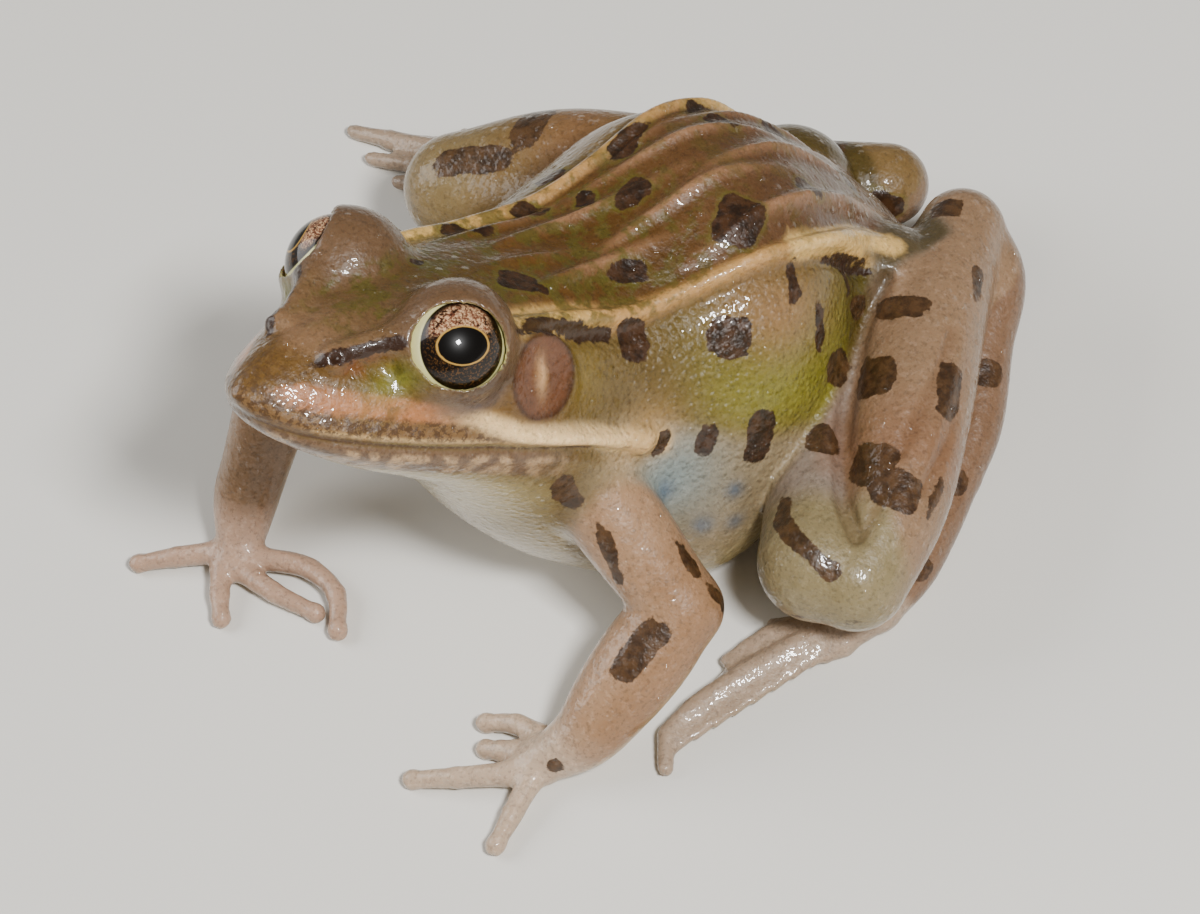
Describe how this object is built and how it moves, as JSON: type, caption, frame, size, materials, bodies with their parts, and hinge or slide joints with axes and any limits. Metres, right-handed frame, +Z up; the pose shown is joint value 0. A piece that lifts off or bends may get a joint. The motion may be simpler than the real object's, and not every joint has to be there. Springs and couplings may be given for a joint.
{
  "type": "southern leopard frog model, life size",
  "caption": "Still museum model of a sitting leopard frog, head raised, front hands spread and hind legs folded; rests on belly, hands and feet.",
  "frame": {"origin": "middle of the footprint, on the floor", "axes": "the frog faces -Y, its left side is +X, +Z is up"},
  "size_m": [0.0886, 0.0744, 0.0485],
  "materials": {
    "frog_skin": "wet satin",
    "frog_eye": "polished"
  },
  "bodies": {
    "root": {"eardrum_left": "frog_skin", "eardrum_right": "frog_skin", "eye_left": "frog_eye", "eye_right": "frog_eye", "finger_1_left": "frog_skin", "finger_1_right": "frog_skin", "finger_2_left": "frog_skin", "finger_2_right": "frog_skin", "finger_3_left": "frog_skin", "finger_3_right": "frog_skin", "finger_4_left": "frog_skin", "finger_4_right": "frog_skin", "foot_left": "frog_skin", "foot_right": "frog_skin", "forearm_left": "frog_skin", "forearm_right": "frog_skin", "hand_left": "frog_skin", "hand_right": "frog_skin", "head": "frog_skin", "lower_jaw": "frog_skin", "shank_left": "frog_skin", "shank_right": "frog_skin", "tarsus_left": "frog_skin", "tarsus_right": "frog_skin", "thigh_left": "frog_skin", "thigh_right": "frog_skin", "torso": "frog_skin", "upper_arm_left": "frog_skin", "upper_arm_right": "frog_skin"}
  },
  "joints": []
}
